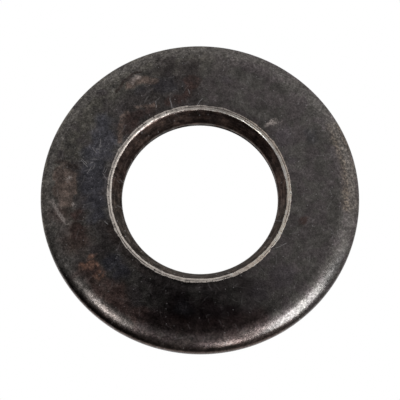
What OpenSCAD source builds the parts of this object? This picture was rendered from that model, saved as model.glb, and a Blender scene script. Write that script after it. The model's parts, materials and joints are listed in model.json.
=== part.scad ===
// Conical spring washer for an M16 bolt, pressed from one blank of spring steel.
// It lies on its rim with the hollow side down. The origin is on the axis, in the plane it lies on.
// All sizes are in millimetres.

/* [Washer] */
// Outside diameter
outer_d = 35; // [30:0.5:50]
// Diameter of the bore
bore_d = 17.1; // [12:0.1:22]
// Thickness of the steel, square to the cone
thickness = 2.5; // [2.2:0.1:4]
// Slope of the cone, in degrees
cone_angle = 5; // [2:0.25:8]

/* [Rim] */
// Width of the rolled shoulder, from the rim wall to the flat of the top face
shoulder_w = 2.5; // [1.8:0.1:4]
// Fall of the rolled shoulder, from the top face to the rim wall
shoulder_h = 1.5; // [1.2:0.05:1.8]
// Radius of the shoulder where it leaves the rim wall
roll_r = 1; // [0.4:0.1:1.2]
// Radius of the edge between the rim wall and the hollow side
rim_edge_r = 0.4; // [0.2:0.05:0.8]

/* [Bore] */
// Length of the straight land in the bore
land_h = 0.45; // [0.2:0.05:1]
// Radius of the edge between the land and the countersink
land_edge_r = 1; // [0.2:0.1:1.4]
// How far the countersink widens the bore, on the radius
countersink_w = 1.1; // [0.6:0.1:2.5]
// Width of the chamfer where the bore meets the hollow side
foot_chamfer = 0.1; // [0.05:0.01:0.3]

/* [Bearing rings] */
// Width of the flat ring on top, where the bolt head bears
crown_w = 0.5; // [0.2:0.1:1.5]
// Depth worn off the lowest edge of the rim, which leaves the flat seat
seat_wear = 0.03; // [0.01:0.01:0.1]

/* [Hidden] */
$fn = 128;
oil_black = [0.17, 0.16, 0.15];

outer_r = outer_d / 2;
bore_r = bore_d / 2;
crown_in_r = bore_r + countersink_w;
crown_out_r = crown_in_r + crown_w;

// The blank is drawn flat, about the centre of the shoulder's roll, with the top face above it.
top_y = shoulder_h;
hollow_y = shoulder_h - thickness;
rim_centre = [roll_r - rim_edge_r, hollow_y + rim_edge_r];

// The roll leaves the rim wall, and a wider sweep takes over from it and runs out into the top face.
sweep_x = roll_r - shoulder_w;
sweep_r = (sweep_x ^ 2 + shoulder_h ^ 2 - roll_r ^ 2) / (2 * (shoulder_h - roll_r));
sweep_centre = [sweep_x, top_y - sweep_r];
roll_end = -roll_r * sweep_centre / norm(sweep_centre);

// Dishing tilts the flat blank by the cone's angle, and the worn seat sets its height.
roll_centre_r = outer_r - roll_r;
rim_drop = rim_edge_r - rim_centre[1] * cos(cone_angle) + rim_centre[0] * sin(cone_angle);
roll_centre_z = rim_drop - seat_wear;
function dished_z(r, y) = roll_centre_z + (roll_centre_r - r) * tan(cone_angle) + y / cos(cone_angle);

crown_z = dished_z(crown_out_r, top_y);
foot_z = dished_z(bore_r, hollow_y);

// The countersink runs from the crown's inner edge to touch the rounded top of the land.
land_centre = [bore_r + land_edge_r, foot_z + foot_chamfer + land_h];
to_crown = [crown_in_r, crown_z] - land_centre;
land_turn = atan2(to_crown[1], to_crown[0]) + acos(land_edge_r / norm(to_crown));
countersink_angle = 180 - land_turn;

// Fills out the chord between two points to an arc about a centre.
module arc_over(centre, start, end) {
    radius = norm(start - centre);
    middle = (start + end) / 2 - centre;
    reach = middle * radius / norm(middle);
    intersection() {
        translate(centre) circle(radius);
        polygon([start, start + reach, end + reach, end]);
    }
}

// One side of the blank before dishing: a flat strip with its outer edges rolled over.
module blank_section() {
    seat_end = [rim_centre[0], hollow_y];
    rim_foot = [roll_r, rim_centre[1]];
    wall_top = [roll_r, 0];
    sweep_end = [sweep_x, top_y];
    inner_x = -roll_centre_r;
    polygon([
        [inner_x, hollow_y],
        seat_end,
        rim_foot,
        wall_top,
        roll_end,
        sweep_end,
        [inner_x, top_y]
    ]);
    arc_over(rim_centre, seat_end, rim_foot);
    arc_over([0, 0], wall_top, roll_end);
    arc_over(sweep_centre, roll_end, sweep_end);
}

// What the bore leaves standing: the land, the countersink above it and the round edge between.
module outside_bore() {
    translate(land_centre) {
        circle(land_edge_r);
        translate([-land_edge_r, -outer_d]) square(outer_d);
        rotate(-countersink_angle) translate([-land_edge_r, 0]) square(outer_d);
    }
}

// The corner that is broken where the bore meets the hollow side.
module foot_corner() {
    translate([bore_r, foot_z]) polygon(foot_chamfer * [[-1, -1], [2, -1], [-1, 2]]);
}

// The finished section, with the axis at the left, cut flat below at the seat and above at the crown.
module section() {
    difference() {
        intersection() {
            translate([roll_centre_r, roll_centre_z]) rotate(-cone_angle) blank_section();
            outside_bore();
            square([outer_d, crown_z]);
        }
        foot_corner();
    }
}

module conical_washer() {
    color(oil_black) rotate_extrude() section();
}

conical_washer();
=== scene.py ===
import json
import math

import bpy
import numpy as np
from mathutils import Matrix, Vector, noise


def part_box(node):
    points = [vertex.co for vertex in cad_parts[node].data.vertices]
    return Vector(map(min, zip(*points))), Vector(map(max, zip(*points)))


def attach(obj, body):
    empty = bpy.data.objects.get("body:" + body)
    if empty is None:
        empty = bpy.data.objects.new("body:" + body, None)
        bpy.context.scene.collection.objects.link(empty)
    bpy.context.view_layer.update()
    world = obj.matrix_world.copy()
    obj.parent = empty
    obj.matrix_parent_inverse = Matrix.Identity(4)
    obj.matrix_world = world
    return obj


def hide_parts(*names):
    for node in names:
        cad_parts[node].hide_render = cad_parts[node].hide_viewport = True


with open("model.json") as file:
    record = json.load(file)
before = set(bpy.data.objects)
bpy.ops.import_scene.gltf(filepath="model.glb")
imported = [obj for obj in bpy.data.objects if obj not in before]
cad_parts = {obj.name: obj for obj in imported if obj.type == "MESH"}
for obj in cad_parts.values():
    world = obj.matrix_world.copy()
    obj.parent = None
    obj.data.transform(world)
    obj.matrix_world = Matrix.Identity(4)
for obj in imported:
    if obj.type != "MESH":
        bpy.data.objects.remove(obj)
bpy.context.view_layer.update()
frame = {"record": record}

# The washer is one disc of spring steel, blanked and pierced from strip. Its outer edge is rolled over and its
# bore countersunk, and it is pressed to a shallow cone, hardened and oil-blackened. It lies on its rim. Use has
# rubbed the crown round the bore bare, and handling has left stains, scratches and nicks.
MM = 0.001
_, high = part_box("conical_washer")
outer_r = high.x / MM
crown_z = high.z / MM
bore = next(mount for mount in frame["record"]["mounts"] if mount["name"] == "bore")
bore_r = bore["dims"]["r_mm"]
land_h = bore["dims"]["length_mm"]
land_foot_z = bore["pos_m"][2] / MM - land_h / 2
land_top_z = land_foot_z + land_h

thickness = 2.5
dish = math.radians(5)
shoulder_w = 2.5
shoulder_h = 1.5
roll_r = 1.0
rim_edge_r = 0.4
countersink_w = 1.1
land_edge_r = 1.0
crown_w = 0.5
crown_edge_r = 0.42
foot_chamfer = 0.1

shoulder_r = outer_r - shoulder_w
crown_in_r = bore_r + countersink_w
crown_out_r = crown_in_r + crown_w
roll_centre_r = outer_r - roll_r
roll_centre_z = crown_z - (roll_centre_r - crown_out_r) * math.tan(dish) - shoulder_h / math.cos(dish)
roll_centre = np.array([roll_centre_r, roll_centre_z])


def facing(angle):
    """The unit vector at an angle in radians, of the section (radius, then height) or of the plan."""
    return np.array([math.cos(angle), math.sin(angle)])


def dished(x, y):
    """Where pressing puts a point of the flat blank, measured from the centre of the shoulder's roll."""
    return roll_centre + x * facing(-dish) + y * facing(math.pi / 2 - dish)


def stretch(start, end, step):
    """Points of the section along a straight stretch, without its end."""
    start, end = np.array(start), np.array(end)
    count = max(1, round(math.dist(start, end) / step))
    return [start + (end - start) * i / count for i in range(count)]


def bend(centre, radius, start, end, step):
    """Points of the section round an arc from one angle to another, without its end."""
    count = max(2, round(abs(end - start) * radius / step))
    return [centre + radius * facing(start + (end - start) * i / count) for i in range(count)]


hollow_y = shoulder_h - thickness
rim_centre = dished(roll_r - rim_edge_r, hollow_y + rim_edge_r)
seat_dip = math.asin(rim_centre[1] / rim_edge_r)
seat_in = (roll_centre_r + (roll_centre_z + hollow_y / math.cos(dish)) / math.tan(dish), 0)
seat_out = rim_centre + rim_edge_r * facing(-seat_dip)

sweep_x = roll_r - shoulder_w
sweep_r = (sweep_x**2 + shoulder_h**2 - roll_r**2) / (2 * (shoulder_h - roll_r))
sweep_centre = dished(sweep_x, shoulder_h - sweep_r)
sweep_turn = math.atan2(*(roll_centre - sweep_centre)[::-1])

land_top = np.array([bore_r, land_top_z])
land_foot = np.array([bore_r, land_foot_z])
foot_out = np.array([bore_r + foot_chamfer, land_foot_z - foot_chamfer])
land_centre = land_top + (land_edge_r, 0)
to_crown = np.array([crown_in_r, crown_z]) - land_centre
land_turn = math.atan2(to_crown[1], to_crown[0]) + math.acos(land_edge_r / math.hypot(*to_crown))
crown_edge_w = crown_edge_r * math.tan((land_turn - math.pi / 2) / 2)
edge_top_r = crown_in_r + crown_edge_w
crown_edge_centre = np.array([edge_top_r, crown_z - crown_edge_r])

# Bearing under a bolt head has pressed the top of the cone flat to make the crown, and has pushed a low lip
# out over the face beside it. A fine groove from turning runs round the crown.
sunk_w = 1.1
lip_h = 0.022
lip_w = 0.07
groove_r = crown_in_r + 0.27
groove_w = 0.045
groove_h = 0.01
sunk_r = crown_out_r + sunk_w
lip_foot_r = crown_out_r - lip_w / 4


def rise(value, start, end):
    """0 up to the start, 1 from the end on, and a smooth step between."""
    part = np.clip((value - start) / (end - start), 0, 1)
    return part * part * (3 - 2 * part)


def across_crown(start, end, step):
    """Points of the section from one radius to a smaller one, over the sunk face, the lip and the crown."""
    radius = np.arange(start, end, -step)
    face = crown_z - (radius - crown_out_r) * math.tan(dish) - lip_h * rise(radius, sunk_r, lip_foot_r)
    top = crown_z - groove_h * np.exp(-(((radius - groove_r) / groove_w) ** 2))
    height = face + (top - face) * rise(radius, lip_foot_r, lip_foot_r - lip_w)
    return list(np.stack([radius, height], axis=1))


plain_step = 0.5
fine_step = 0.12
crown_step = 0.028
sunk_edge = (sunk_r, crown_z - sunk_w * math.tan(dish))
crown_edge_end = crown_edge_centre + crown_edge_r * facing(land_turn)
countersink_end = land_centre + land_edge_r * facing(land_turn)
section = np.array(
    stretch(foot_out, seat_in, plain_step)
    + stretch(seat_in, seat_out, fine_step)
    + bend(rim_centre, rim_edge_r, -seat_dip, -dish, fine_step / 2)
    + stretch(dished(roll_r, hollow_y + rim_edge_r), dished(roll_r, 0), fine_step)
    + bend(roll_centre, roll_r, -dish, sweep_turn, fine_step)
    + bend(sweep_centre, sweep_r, sweep_turn, math.pi / 2 - dish, fine_step)
    + stretch(dished(sweep_x, shoulder_h), sunk_edge, fine_step)
    + across_crown(sunk_r, lip_foot_r, fine_step)
    + across_crown(lip_foot_r, edge_top_r + crown_step / 2, crown_step)
    + bend(crown_edge_centre, crown_edge_r, math.pi / 2, land_turn, crown_step)
    + stretch(crown_edge_end, countersink_end, fine_step)
    + bend(land_centre, land_edge_r, land_turn, math.pi, fine_step)
    + stretch(land_top, land_foot, fine_step)
    + stretch(land_foot, foot_out, foot_chamfer)
)

# The section is turned about the axis, one ring of points for each of its points.
turns = 600
around = np.arange(turns) * 2 * math.pi / turns
along = np.roll(section, -1, axis=0) - np.roll(section, 1, axis=0)
out_of_steel = np.stack([along[:, 1], -along[:, 0]], axis=1) / np.linalg.norm(along, axis=1)[:, None]


def turned(points):
    """The points of a section, as radius and height, at every step round the axis."""
    flat = np.stack([np.cos(around), np.sin(around)], axis=1)[:, None, :] * points[None, :, :1]
    height = np.broadcast_to(points[None, :, 1:], flat.shape[:2] + (1,))
    return np.concatenate([flat, height], axis=2).reshape(-1, 3)


smooth_washer = turned(section)
outwards = turned(out_of_steel)
radius_here = np.hypot(smooth_washer[:, 0], smooth_washer[:, 1])
height_here = smooth_washer[:, 2]


def uneven(points, *waves):
    """A smooth unevenness at every point: a sum of waves, each given by its height, its size and a seed."""
    total = np.zeros(len(points))
    for wave_h, size, seed in waves:
        start = Vector((seed, -seed, 2 * seed))
        total += wave_h * np.array([noise.noise(Vector(point) / size + start) for point in points])
    return total


# Pressing and hardening leave the faces a little wavy, and tumbling leaves them faintly pebbled. The crown is
# worn flat.
press_wave = (0.006, 3.2, 3.1)
pebbling = (0.0016, 0.5, 7.7)
worn_h = 0.06
on_crown = rise(height_here, crown_z - worn_h, crown_z - worn_h / 2)
lift = (1 - on_crown) * uneven(smooth_washer, press_wave, pebbling)

# Nicks: knocks on the face and shoulder, each a small round dent.
nick_count = 70
nick_reach = (crown_out_r + 0.4, outer_r - 0.3)
nick_w = (0.08, 0.25)
nick_depth = (0.002, 0.010)
chance = np.random.default_rng(16)
on_top = height_here > roll_centre_z
for _ in range(nick_count):
    turn = chance.uniform(0, 2 * math.pi)
    reach = chance.uniform(*nick_reach)
    width = chance.uniform(*nick_w)
    depth = chance.uniform(*nick_depth)
    near = on_top & (abs(radius_here - reach) < 3 * width)
    away = np.hypot(*(smooth_washer[near, :2] - reach * facing(turn)).T)
    lift[near] -= depth * np.exp(-((away / width) ** 2))

# The lip is pushed out unevenly, the countersink's edge is worn unevenly, and one knock has cut into the lip.
lip_reach = 0.15
edge_reach = 0.2
cut_turn = math.radians(322)
cut_w = 0.25
cut_depth = 0.2
round_crown = turned(np.array([[crown_out_r, 0.0]]))
lip_out = uneven(round_crown, (0.10, 1.1, 21.3), (0.06, 0.4, 5.9))
lip_out -= cut_depth * np.exp(-(((around - cut_turn) * crown_out_r / cut_w) ** 2))
edge_out = uneven(round_crown, (0.07, 1.4, 9.2), (0.04, 0.45, 14.6))
near_lip = on_top * np.exp(-(((radius_here - crown_out_r) / lip_reach) ** 2))
near_edge = np.exp(-((np.hypot(radius_here - crown_in_r, height_here - crown_z) / edge_reach) ** 2))
rows = len(section)
pushed_out = np.repeat(lip_out, rows) * near_lip + np.repeat(edge_out, rows) * near_edge
washer_points = smooth_washer + lift[:, None] * outwards
washer_points[:, :2] *= (1 + pushed_out / radius_here)[:, None]

# The crown and the bore were cut a little off the washer's centre.
crown_off = (-0.12, 0.02)
bore_off = (0.0, -0.09)
inside = rise(radius_here, sunk_r, crown_out_r)
deep = rise(height_here, crown_z, land_top_z)
washer_points[:, :2] += np.outer(inside * (1 - deep), crown_off) + np.outer(inside * deep, bore_off)
washer_points[:, 2] = np.clip(washer_points[:, 2], 0, crown_z)

corner = np.arange(turns * rows).reshape(turns, rows)
next_turn = np.roll(corner, -1, axis=0)
faces = np.stack([corner, next_turn, np.roll(next_turn, -1, axis=1), np.roll(corner, -1, axis=1)], axis=2)
washer_mesh = bpy.data.meshes.new("washer")
washer_mesh.from_pydata((washer_points * MM).tolist(), [], faces.reshape(-1, 4).tolist())
washer_mesh.shade_smooth()
washer_mesh.set_sharp_from_angle(angle=math.radians(40))
washer = bpy.data.objects.new("washer", washer_mesh)
bpy.context.scene.collection.objects.link(washer)
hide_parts("conical_washer")
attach(washer, "root")


class Shade:
    """A socket of a shader. Arithmetic on it adds Math nodes, and node() adds any other node."""

    def __init__(self, tree, socket=None):
        self.tree, self.socket = tree, socket

    def node(self, kind, settings=None, sockets=None, output=0):
        """One output of a new node. Settings are set first, then sockets get their values or links."""
        made = self.tree.nodes.new("ShaderNode" + kind)
        for name, setting in (settings or {}).items():
            setattr(made, name, setting)
        for name, value in (sockets or {}).items():
            if isinstance(value, Shade):
                self.tree.links.new(value.socket, made.inputs[name])
            else:
                made.inputs[name].default_value = value
        return Shade(self.tree, made.outputs[output] if made.outputs else None)

    def beside(self, output):
        """Another output of the node that this socket belongs to."""
        return Shade(self.tree, self.socket.node.outputs[output])

    def math(self, operation, other=0.0):
        """This value and another through a Math node."""
        return self.node("Math", {"operation": operation}, {0: self, 1: other})

    def __add__(self, other):
        return self.math("ADD", other)

    def __sub__(self, other):
        return self.math("SUBTRACT", other)

    def __rsub__(self, other):
        return self.node("Math", {"operation": "SUBTRACT"}, {0: other, 1: self})

    def __mul__(self, other):
        return self.math("MULTIPLY", other)

    __radd__ = __add__
    __rmul__ = __mul__

    def fade(self, nothing, full):
        """0 where this value is at nothing, rising smoothly to 1 where it is at full."""
        ends = {"From Min": nothing, "From Max": full}
        return self.node("MapRange", {"interpolation_type": "SMOOTHSTEP"}, {"Value": self, **ends})

    def mix(self, without, full):
        """A colour that goes over from one to the other as this value rises from 0 to 1."""
        return self.node("Mix", {"data_type": "RGBA"}, {0: self, 6: without, 7: full}, 2)

    def vector(self, operation, other=(0, 0, 0), output="Vector"):
        """This vector and another through a Vector Math node, for its vector or its value."""
        return self.node("VectorMath", {"operation": operation}, {0: self, 1: other}, output)

    def scaled(self, amount):
        """This colour or vector times a value."""
        return self.node("VectorMath", {"operation": "SCALE"}, {0: self, "Scale": amount})

    def along(self, axis):
        """One part of this colour or vector, by its number."""
        return self.node("SeparateXYZ", None, {0: self}, axis)

    def mottle(self, size, seed, detail=2.0, output=0):
        """Cloudy variation about a half, over this place in millimetres, with clouds of this size."""
        sockets = {"Vector": self, "W": seed, "Scale": 1 / size, "Detail": detail}
        return self.node("TexNoise", {"noise_dimensions": "4D"}, sockets, output)


steel = bpy.data.materials.new("blackened_steel")
steel.use_nodes = True
steel.node_tree.nodes.clear()
washer_mesh.materials.append(steel)
shader = Shade(steel.node_tree)
here = shader.node("TexCoord", output="Object").scaled(1 / MM)
across, back, height = here.along(0), here.along(1), here.along(2)
flat_here = here.vector("MULTIPLY", (1, 1, 0))
radius = flat_here.vector("LENGTH", output="Value")
crown_radius = flat_here.vector("SUBTRACT", (*crown_off, 0)).vector("LENGTH", output="Value")
on_shoulder = radius.fade(shoulder_r - 0.2, shoulder_r + 0.8)


def outward(azimuth):
    """How far a place lies from the axis in one direction, given in degrees from +X towards +Y."""
    return flat_here.vector("DOT_PRODUCT", (*facing(math.radians(azimuth)), 0), "Value")


# Mottling: clouds and patches from the oil bath, and the fine tooth and pebbles that tumbling leaves.
clouds = here.mottle(3.0, seed=2, detail=3)
patches = here.mottle(0.9, seed=3, detail=3)
fine = here.mottle(0.4, seed=4)
grain = here.mottle(0.13, seed=5, detail=1)
pebbles = here.mottle(0.24, seed=17, detail=1)
grey_black = (0.150, 0.139, 0.130, 1)
plum_black = (0.157, 0.137, 0.137, 1)
colour = here.mottle(1.6, seed=8, detail=3).fade(0.42, 0.58).mix(grey_black, plum_black)
olive = radius.fade(shoulder_r - 2.0, shoulder_r - 0.4) * outward(143.1).fade(4.0, 11.0)
olive_black = (0.166, 0.153, 0.134, 1)
colour = (olive * patches.fade(0.3, 0.6)).mix(colour, olive_black)

# Stains: what dried on the steel has ragged outlines, so the places that stains are measured from are shaken.
shake = here.mottle(1.4, seed=1, detail=5, output="Color").vector("SUBTRACT", (0.5, 0.5, 0.5))
ragged = flat_here.vector("ADD", shake.vector("MULTIPLY", (2.4, 2.4, 0)))
wavering = flat_here.vector("ADD", shake.vector("MULTIPLY", (1.0, 1.0, 0)))


def joined(first, *others):
    """Where any of these masks is: the largest of their values."""
    for other in others:
        first = first.math("MAXIMUM", other)
    return first


def stain(edge, *places):
    """Stains on the top face, each a place and its reach, that run together, with an edge this soft."""
    return joined(
        *(ragged.vector("DISTANCE", (x, y, 0), "Value").fade(reach, reach - edge) for x, y, reach in places)
    )


def mark(width, *places):
    """A line on the top face through these places, as wide as this and soft at its sides."""
    legs = []
    for start, end in zip(places, places[1:]):
        start, length = Vector((*start, 0)), Vector((*end, 0)) - Vector((*start, 0))
        out = wavering.vector("SUBTRACT", start)
        part = out.vector("DOT_PRODUCT", length / length.length_squared, "Value")
        part = part.math("MAXIMUM", 0.0).math("MINIMUM", 1.0)
        nearest = shader.node("VectorMath", {"operation": "SCALE"}, {0: length, "Scale": part})
        legs.append(out.vector("DISTANCE", nearest, "Value").fade(width / 2, width / 8))
    return joined(*legs)


# Soot lies behind the bore and stops short at the middle. Umber lies down the left, and blue between it and
# the bore.
soot = stain(
    1.2,
    (-0.6, 11.6, 2.0), (-1.2, 14.2, 2.2), (-2.3, 12.0, 2.6), (-4.4, 11.4, 2.4),
    (-6.6, 9.9, 2.4), (-3.8, 14.8, 1.8), (-1.8, 10.2, 1.5),
)
soot = soot * wavering.along(0).fade(0.3, -0.2)
soot = joined(soot, stain(1.5, (2.2, 12.2, 2.6)) * 0.4)
soot_black = (0.090, 0.078, 0.075, 1)
colour = (soot * 0.85).mix(colour, soot_black)
umber = stain(1.8, (-15.4, -2.2, 2.0), (-13.7, -5.0, 2.6), (-12.2, -9.2, 2.6), (-9.5, -11.9, 2.6))
umber_black = (0.142, 0.100, 0.086, 1)
colour = (umber * 0.85).mix(colour, umber_black)
blue = stain(
    1.0,
    (-10.6, 8.0, 1.5), (-10.6, 6.3, 1.9), (-11.3, 4.6, 2.0), (-11.8, 2.8, 1.9), (-11.9, 0.9, 1.8),
    (-11.5, -1.0, 1.7), (-11.4, -2.5, 1.4), (-9.6, -7.6, 1.5), (-8.7, -8.7, 1.4),
)
blue_black = (0.108, 0.106, 0.127, 1)
blue_grey = (0.136, 0.134, 0.157, 1)
colour = (blue * 0.85).mix(colour, back.fade(0.8, 3.0).mix(blue_black, blue_grey))
plum = stain(1.0, (9.3, 6.5, 1.5), (10.2, 4.0, 1.0), (9.0, -9.5, 1.8), (6.5, -11.0, 1.5), (2.8, 13.2, 0.8))
plum_grey = (0.156, 0.134, 0.146, 1)
colour = (plum * 0.7).mix(colour, plum_grey)

# Oil has dried darkest in front of the bore, and in small pools.
dim = stain(
    1.2,
    (2.4, -10.7, 1.7), (4.6, -10.3, 1.6), (-4.2, -10.3, 1.9), (0.4, -10.2, 1.6), (-1.6, -10.2, 1.6),
    (-10.4, -4.0, 1.6), (-9.9, -5.0, 1.7), (-10.9, -6.3, 1.6),
)
dim_oil = (0.082, 0.070, 0.069, 1)
colour = (dim * 0.9).mix(colour, dim_oil)
dark = stain(1.4, (-2.0, -12.9, 2.5), (0.9, -13.4, 2.4), (3.3, -13.4, 1.8))
dark_oil = (0.041, 0.028, 0.031, 1)
colour = (dark * 0.9).mix(colour, dark_oil)
pool = stain(
    1.0,
    (-1.2, 12.3, 1.2), (-1.9, -12.7, 1.5), (0.4, -14.6, 0.9), (-4.3, 12.5, 1.6),
    (-3.3, 12.6, 1.3), (-6.6, 12.0, 1.1), (12.3, 6.7, 1.2),
)
pool_black = (0.080, 0.076, 0.084, 1)
colour = (pool * 0.7).mix(colour, pool_black)

# Red, maroon and brown films are where oil burnt in the heat of hardening.
red = stain(
    0.5,
    (-0.9, 12.5, 1.0), (-0.8, 13.3, 0.7), (-1.3, 11.6, 0.9), (-2.6, 10.9, 0.9), (-1.6, 10.9, 0.7),
    (-3.6, 10.5, 0.6), (-7.4, 8.4, 1.1), (-8.0, 7.2, 0.9), (-6.5, 9.0, 0.8), (-5.2, 9.4, 1.0),
    (-13.5, -2.5, 1.0), (-13.3, -4.2, 1.1), (-12.3, -8.7, 1.5), (11.6, -3.0, 0.8),
)
red_black = (0.110, 0.073, 0.066, 1)
colour = (red * (0.5 + 0.45 * patches.fade(0.35, 0.6))).mix(colour, red_black)
red_line = joined(
    mark(0.5, (-9.2, 11.9), (-8.4, 12.9), (-7.3, 13.85), (-6.5, 14.1)),
    mark(0.8, (-15.7, 3.9), (-14.6, 3.6), (-13.7, 3.2)),
    mark(1.4, (-10.0, -3.8), (-8.8, -5.7), (-7.3, -7.5), (-5.5, -9.0)) * 0.8,
)
red_shade = (0.088, 0.066, 0.060, 1)
colour = (red_line * 0.75).mix(colour, red_shade)
maroon = stain(
    1.2,
    (-10.1, -10.1, 1.2), (-12.4, -9.9, 0.9), (-9.3, -11.4, 1.7), (-8.7, -12.9, 1.9),
    (-9.7, -12.6, 1.8), (-11.4, -11.0, 1.5), (-6.8, -13.5, 1.6),
)
maroon_film = (0.310, 0.206, 0.186, 1)
colour = (maroon * 0.8).mix(colour, maroon_film)
near_red = mark(3.2, (-5.6, -13.9), (-2.6, -14.8), (0.0, -15.1), (3.0, -14.9), (6.6, -13.8))
near_red = joined(near_red, stain(0.9, (3.6, -15.4, 1.4)))
near_red_black = (0.094, 0.060, 0.057, 1)
colour = (near_red * 0.7).mix(colour, near_red_black)
brown = stain(0.4, (-15.0, 2.2, 1.4), (-14.6, 1.4, 1.4), (-14.9, 0.2, 1.5), (-14.4, -0.7, 0.9))
brown = joined(brown, mark(1.2, (-7.8, 12.4), (-7.3, 12.9), (-6.2, 13.15), (-4.9, 13.0)))
brown_film = (0.262, 0.196, 0.168, 1)
colour = (brown * (0.7 + 0.3 * patches.fade(0.4, 0.6))).mix(colour, brown_film)
# A pale pink line along the edge of one film is a painted highlight.
crest_highlight = mark(0.7, (-7.55, 12.8), (-7.3, 13.1), (-6.95, 13.4), (-6.5, 13.45))
crest_highlight_pink = (0.60, 0.50, 0.46, 1)
colour = (crest_highlight * (0.54 + 0.36 * fine.fade(0.38, 0.58))).mix(colour, crest_highlight_pink)

# Rust has come through in one place. A brown crust edges the soot, and a tan film lies along the right shoulder.
crust = joined(
    mark(0.9, (-8.9, 6.0), (-8.7, 7.4), (-8.5, 8.6), (-8.1, 9.2)) * fine.fade(0.3, 0.55),
    mark(0.7, (-7.2, 9.9), (-6.0, 10.0), (-4.8, 10.1)) * fine.fade(0.35, 0.55),
)
crust_brown = (0.265, 0.196, 0.168, 1)
colour = (crust * 0.9).mix(colour, crust_brown)
rust = stain(
    0.6,
    (-12.1, -7.1, 0.65), (-12.1, -8.0, 0.85), (-12.9, -8.2, 0.75),
    (-11.2, -8.3, 0.65), (-11.1, -9.2, 0.7), (-10.5, -9.0, 0.55),
)
rust_brown = (0.300, 0.168, 0.122, 1)
colour = (rust * (0.55 + 0.4 * fine.fade(0.4, 0.6))).mix(colour, rust_brown)
# The tan film is speckled with pale dots, which are painted glints of its pebbled steel.
tan = mark(2.2, (14.7, 7.9), (15.6, 5.7), (16.1, 3.6), (16.35, 1.5), (16.3, -1.2))
tan_film_and_glints = (0.225, 0.184, 0.145, 1)
colour = (tan * (0.4 + 0.5 * pebbles.fade(0.44, 0.6))).mix(colour, tan_film_and_glints)

# Wear on the shoulder: its roll is rubbed a little paler, redder in front and greyer on the right.
near_left = outward(254.9).fade(14.3, 16.2)
near_front = outward(262.0).fade(10.5, 14.5)
near_right = outward(316.2).fade(14.84, 16.24)
rubbed = (radius + (fine - 0.5) * 0.7).fade(outer_r - 1.6, outer_r - 0.8)
rubbed = rubbed * (radius + (fine - 0.5) * 0.5).fade(outer_r - 0.25, outer_r - 0.55)
rubbed = rubbed * height.fade(roll_centre_z - 0.12, roll_centre_z + 0.38) * (1 - 0.5 * near_left)
rubbed = joined(rubbed, mark(2.6, (-16.3, -1.0), (-15.6, -4.2), (-15.1, -7.6), (-12.9, -9.8)))
rubbed_steel = (0.200, 0.184, 0.172, 1)
rubbed_brown = (0.202, 0.158, 0.148, 1)
rubbed_red = (0.215, 0.142, 0.134, 1)
rubbed_grey = (0.186, 0.182, 0.177, 1)
rubbed_colour = joined(near_front, umber).mix(rubbed_steel, rubbed_brown)
rubbed_colour = near_right.mix(near_left.mix(rubbed_colour, rubbed_red), rubbed_grey)
colour = (rubbed * 0.7).mix(colour, rubbed_colour)
left_roll = mark(1.9, (-13.3, -9.7), (-11.5, -11.8), (-9.7, -13.3), (-8.0, -14.4))
colour = (left_roll * 0.8).mix(colour, rubbed_steel)
rim_brown = radius.fade(outer_r - 0.6, outer_r - 0.3) * near_front
colour = (rim_brown * 0.7).mix(colour, umber_black)


# Wear in the bore: it is stained brown and black, and a bolt has rubbed its land grey. The face is darker by the
# lip.
def lines(over, width, length, seed):
    """Cloudy variation drawn out round the axis, in lines this wide over a value and this long round it."""
    round_axis = flat_here.vector("NORMALIZE").scaled(crown_out_r / length)
    sideways = shader.node("CombineXYZ", None, {2: over * (1 / width)})
    return round_axis.vector("ADD", sideways).mottle(1.0, seed)


dark_by_lip = crown_radius.fade(crown_out_r + 0.85, crown_out_r + 0.15) * back.math("ABSOLUTE").fade(7.0, 9.5)
colour = (dark_by_lip * 0.6).mix(colour, dim_oil)
far_right = outward(45).fade(6.57, 8.59)
in_bore = crown_radius.fade(crown_in_r + 0.05, crown_in_r - 0.1)
bands = lines(height, 0.22, 2.2, seed=31)
bolt_rub = (height + (bands - 0.5) * 0.9).fade(land_top_z + 0.44, land_top_z + 0.14) * patches.fade(0.3, 0.5)
bore_black = (0.070, 0.051, 0.046, 1)
bore_brown = (0.150, 0.104, 0.088, 1)
near_black = (0.064, 0.057, 0.050, 1)
bolt_grey = (0.240, 0.225, 0.212, 1)
bore_colour = here.mottle(1.1, seed=33, detail=4).fade(0.40, 0.62).mix(bore_black, bore_brown)
# The bore is painted darker on the left as shade and lighter on the far right as a highlight.
bore_colour = bore_colour.scaled(1.15 - 0.5 * across.fade(-3.0, -8.0) + 0.6 * far_right)
bore_colour = (back.fade(3.0, -3.0) * 0.8).mix(bore_colour, near_black)
bore_colour = (in_bore * bolt_rub * 0.8).mix(bore_colour, bolt_grey)
colour = in_bore.mix(colour, bore_colour)

# The mottling makes every tone so far lighter and darker, and shows more on the stained side.
stained_side = across.fade(5.0, -7.0)
mottled = (clouds - 0.5) * 0.7 + (patches - 0.5) * 1.5 + (fine - 0.5) * 1.2 + (grain - 0.5) * 1.9
mottled = mottled * (0.8 + 0.4 * stained_side)
# On the shoulder and the tan film the pebbles' speckle is painted glints as well as tone.
mottled = mottled + (pebbles - 0.5) * (0.6 + on_shoulder * 1.2 + tan * 1.2) + (bands - 0.5) * in_bore * 2.5
colour = colour.scaled(mottled.math("EXPONENT"))

# Handling: short scratches that run every way, a few scores and scuffs, and specks of dust.
scratch_w = 0.08
score_w = 0.13


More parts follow.
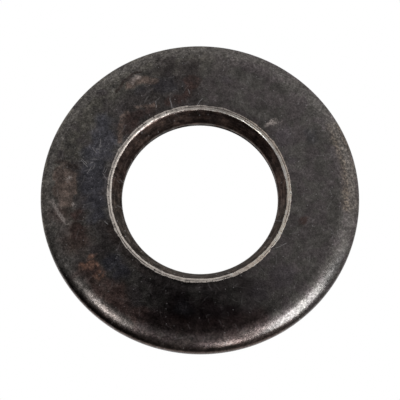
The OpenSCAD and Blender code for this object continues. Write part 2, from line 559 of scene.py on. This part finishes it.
def strewn(size, seed):
    """Straight scratches strewn over the top face, at most one in each cell of about this size."""
    place = wavering.vector("ADD", (seed, -seed, 0))
    sockets = {"Vector": place, "Scale": 1 / size}
    cell = shader.node("TexVoronoi", {"voronoi_dimensions": "2D"}, sockets, "Color")
    angle = cell.along(0) * (2 * math.pi)
    way = shader.node("CombineXYZ", None, {0: angle.math("COSINE"), 1: angle.math("SINE")})
    out = place.vector("SUBTRACT", cell.beside("Position"))
    lengthways = out.vector("DOT_PRODUCT", way, "Value").math("ABSOLUTE")
    sideways = out.vector("CROSS_PRODUCT", way).along(2).math("ABSOLUTE")
    scratch = sideways.fade(scratch_w, scratch_w / 4) * lengthways.fade(0.45 * size, 0.25 * size)
    return scratch * cell.along(1).fade(0.4, 1.0)


scratched = stain(
    1.0, (-12.3, 3.6, 1.6), (-11.0, 5.4, 1.3), (-11.0, 4.0, 1.2), (-9.6, 5.0, 0.9), (-10.4, 2.5, 1.2)
)
scratches = joined(
    strewn(1.5, seed=3.3),
    strewn(0.8, seed=8.1) * patches.fade(0.4, 0.6),
    scratched * joined(strewn(0.5, seed=5.7), strewn(0.7, seed=6.9)),
)
score_ends = (
    ((-13.0, 3.8), (-12.3, 3.3)),
    ((-12.9, 4.0), (-12.5, 3.6)),
    ((-11.0, 6.3), (-11.0, 5.4)),
    ((-11.8, 5.4), (-11.3, 4.6)),
    ((-11.9, 3.3), (-12.2, 2.4)),
    ((-10.7, 2.3), (-10.4, 1.6)),
    ((-10.2, 2.9), (-10.5, 2.4)),
    ((-3.4, 10.9), (-3.1, 9.9)),
    ((-4.9, 10.5), (-4.75, 9.9)),
    ((-1.4, 11.9), (-1.1, 11.4)),
    ((0.2, 10.8), (-0.3, 10.3)),
    ((-9.1, -6.8), (-8.8, -6.9)),
    ((-10.5, -3.2), (-10.2, -3.5)),
    ((4.6, 12.0), (4.8, 12.0)),
    ((12.4, -3.5), (12.5, -3.6)),
    ((9.3, -5.5), (8.3, -6.1)),
)
scores = joined(*(mark(score_w, *ends) for ends in score_ends))
dust = shader.node("TexVoronoi", {"voronoi_dimensions": "2D"}, {"Vector": flat_here, "Scale": 1.1}, "Color")
specks = dust.beside("Distance").fade(0.09, 0.04) * dust.along(0).fade(0.55, 1.0)
thin_marks = joined(scratches * (0.25 + 0.45 * scratched), scores * 0.7, specks * 0.7)
scratch_grey = (0.42, 0.40, 0.405, 1)
colour = thin_marks.mix(colour, scratch_grey)

scuffs = mark(0.7, (-16.3, -0.6), (-15.8, -1.6), (-15.2, -2.5), (-14.6, -3.4)) * fine.fade(0.25, 0.5)
scuffs = scuffs * (0.35 + 0.65 * grain.fade(0.35, 0.55))
scuffs = joined(scuffs, stain(1.0, (-15.0, -3.7, 1.3)) * (0.1 + 0.3 * fine.fade(0.35, 0.6)))
smudges = stain(
    0.5, (7.8, 7.95, 0.45), (8.2, 8.05, 0.65), (8.55, 8.2, 0.5), (-13.9, -1.2, 0.4), (-14.4, 1.8, 0.4)
)
smudges = smudges * fine.fade(0.15, 0.5) * (0.4 + 1.4 * grain.fade(0.4, 0.62))
broad_marks = joined(scuffs, smudges)
scuff_tan = (0.48, 0.418, 0.39, 1)
colour = broad_marks.mix(colour, scuff_tan)

# Wear on the crown: it is rubbed bare, with fine turned lines, a dark groove and nicks at its edges. Its inner
# edge has a high polish on the far right. There it is painted brighter as a highlight, and outside it darker.
inner_edge = crown_radius.fade(edge_top_r + 0.02, edge_top_r - 0.06) * (0.05 + 0.04 * far_right)
polish_and_painted_glint = far_right * crown_radius.fade(edge_top_r + 0.04, edge_top_r - 0.04)
edge_nicks = lines(crown_radius, 0.5, 0.13, seed=23).fade(0.58, 0.66)
groove = (crown_radius - groove_r).math("ABSOLUTE").fade(0.07, 0.02)
groove = groove * joined(lines(crown_radius, 0.6, 1.3, seed=29).fade(0.45, 0.58), far_right * 0.8)
bare = height + inner_edge + (fine - 0.5) * 0.012 - edge_nicks * 0.03
bare = bare.fade(crown_z - 0.016, crown_z - 0.007) * (1 - 0.75 * groove)
bare_tone = (lines(crown_radius, 0.07, 1.6, seed=27) - 0.5) * 1.3 + (fine - 0.5) + (grain - 0.5)
bare_tone = bare_tone + 0.3 * across.fade(3.0, 9.0) + 0.25 * polish_and_painted_glint
bare_tone = bare_tone - 0.35 * far_right * crown_radius.fade(edge_top_r - 0.05, edge_top_r + 0.1)
bare_steel = (0.81, 0.725, 0.66, 1)
bare_warm = (0.85, 0.715, 0.61, 1)
bare_colour = across.fade(2.0, 7.0).mix(bare_steel, bare_warm).scaled(bare_tone.math("EXPONENT"))
colour = bare.mix(colour, bare_colour)

# Films, rust and marks dull the metal, and the tooth of the steel breaks up its shine. A dull black is mixed
# over the foot of the bore, darkening it.
roughness = 0.17 + (patches - 0.5) * 0.12 + brown * 0.05 + bare * 0.18 + on_shoulder * 0.10 + in_bore * 0.13
roughness = roughness - 0.05 * radius.fade(outer_r - 0.8, outer_r - 0.4) - 0.13 * polish_and_painted_glint * bare
dulled = brown * 0.12 + rust * 0.3 + joined(thin_marks, broad_marks) * 0.4
metallic = 1 - dulled * (1 - bare) - bare * 0.15
tooth_h = 0.012 * MM
tooth = (fine + grain) * (0.5 + on_shoulder * 0.4) + pebbles * on_shoulder * 0.6
bump = shader.node("Bump", None, {"Strength": 0.5, "Distance": tooth_h, "Height": tooth})
edge_tint = (0.45, 0.45, 0.45, 1)
finish = {"Base Color": colour, "Metallic": metallic, "Roughness": roughness, "Normal": bump}
oiled_steel = shader.node("BsdfPrincipled", None, {**finish, "Specular Tint": edge_tint})
foot_darkening = in_bore * height.fade(land_top_z + 0.24, land_top_z - 0.06) * (0.98 - 0.4 * bands.fade(0.5, 0.62))
dull_black_colour = (0.016, 0.013, 0.012, 1)
dull_black = shader.node(
    "BsdfPrincipled", None, {"Base Color": dull_black_colour, "Roughness": 0.9, "Specular IOR Level": 0.0}
)
surface = shader.node("MixShader", None, {0: foot_darkening, 1: oiled_steel, 2: dull_black})
shader.node("OutputMaterial", None, {"Surface": surface})

# The floor is a plain white sheet that the washer lies on. It is set a hair below it, so that the two never
# share a plane, and it is lit so brightly from below that no shadow shows on it.
floor_w = 6.0
floor_gap = 0.01 * MM
bpy.ops.mesh.primitive_plane_add(size=floor_w, location=(0, 0, -floor_gap))
floor = bpy.context.object
floor.name = "floor"
floor.visible_glossy = False
floor.visible_diffuse = False
floor.visible_shadow = False
white = bpy.data.materials.new("white_sheet")
white.use_nodes = True
white.node_tree.nodes.clear()
sheet = Shade(white.node_tree)
glow = sheet.node("Emission", None, {"Color": (1, 1, 1, 1), "Strength": 1.0})
sheet.node("OutputMaterial", None, {"Surface": glow})
floor.data.materials.append(white)


# Four soft lamps stand in front of the washer: a broad one to the right, a low one in the middle, and two
# small ones side by side to the left. The walls of the room give the rest: pale behind and to the right, dark
# in front and straight above.
def towards(azimuth, elevation):
    """The direction from the washer at an azimuth, from +X towards +Y, and an elevation, both in degrees."""
    flat, climb = facing(math.radians(azimuth)), math.radians(elevation)
    return Vector((*(math.cos(climb) * flat), math.sin(climb)))


lamp_distance = 0.6


def lamp(name, azimuth, elevation, spread, radiance):
    """A square soft lamp that faces the washer and looks as wide from it as its spread in degrees."""
    width = 2 * lamp_distance * math.tan(math.radians(spread / 2))
    light = bpy.data.lights.new(name, "AREA")
    light.size = width
    light.energy = radiance * math.pi * width**2
    stand = bpy.data.objects.new(name, light)
    stand.location = towards(azimuth, elevation) * lamp_distance
    stand.rotation_euler = towards(azimuth, elevation).to_track_quat("Z", "Y").to_euler()
    bpy.context.scene.collection.objects.link(stand)


lamp("broad_lamp", azimuth=321, elevation=36, spread=25, radiance=5.4)
lamp("low_lamp", azimuth=286, elevation=32, spread=10, radiance=5.8)
lamp("small_lamp", azimuth=218, elevation=41, spread=8, radiance=9.4)
lamp("strip_lamp", azimuth=229, elevation=38, spread=6, radiance=5.4)

room = bpy.data.worlds.new("room")
room.use_nodes = True
room.node_tree.nodes.clear()
bpy.context.scene.world = room
wall = Shade(room.node_tree)
look = wall.node("TexCoord", output="Generated")


def looking(azimuth, elevation):
    """The cosine of the angle between where the room is seen and a direction in it."""
    return look.vector("DOT_PRODUCT", towards(azimuth, elevation), "Value")


# Each glow on the walls has a strength, a direction and a tightness.
pale = 0.04
for strength, azimuth, elevation, tightness in (
    (0.54, 15, 25, 2.2),
    (0.29, 95, 10, 2.5),
    (0.16, 150, 20, 5),
    (0.10, 270, 44, 34),
    (0.36, 335, 52, 18),
    (0.30, 208, 38, 60),
):
    pale = pale + strength * ((looking(azimuth, elevation) - 1) * tightness).math("EXPONENT")
up = look.along(2)
ground = up.fade(0.05, -0.3) * (0.015 + 0.38 * look.along(1).fade(-0.6, 0.8)) + 0.9 * up.fade(-0.45, -0.9)
dark_overhead = looking(243, 85).fade(math.cos(math.radians(18)), math.cos(math.radians(8)))
dark_front = looking(217, -5).fade(0.78, 0.96)
pale = (pale + ground) * (1 - 0.95 * dark_overhead) * (1 - 0.82 * dark_front)
walls = wall.node("CombineColor", None, {0: pale, 1: pale, 2: pale})
seen = wall.node("LightPath", output="Is Camera Ray")
background = wall.node("Background", None, {"Color": seen.mix(walls, (1, 1, 1, 1))})
wall.node("OutputWorld", None, {"Surface": background})

# The camera looks down at the washer from in front, tipped a little to one side. It stands far enough away to
# show it almost without perspective.
camera_distance = 0.84
camera_rise = 74.2
frame_w = 43.98 * MM
aim_right, aim_up = 0.022 * MM, 0.174 * MM
tip_turn = math.radians(-3)
sensor_w = 36
view = bpy.data.cameras.new("camera")
view.sensor_width = sensor_w
view.lens = sensor_w * camera_distance / frame_w
camera = bpy.data.objects.new("camera", view)
tip = Matrix.Rotation(math.radians(90 - camera_rise), 3, Vector((*facing(tip_turn), 0)))
camera.rotation_euler = tip.to_euler()
camera.location = tip @ Vector((aim_right, aim_up, camera_distance))
bpy.context.scene.collection.objects.link(camera)
bpy.context.scene.camera = camera
bpy.context.scene.view_settings.view_transform = "Standard"
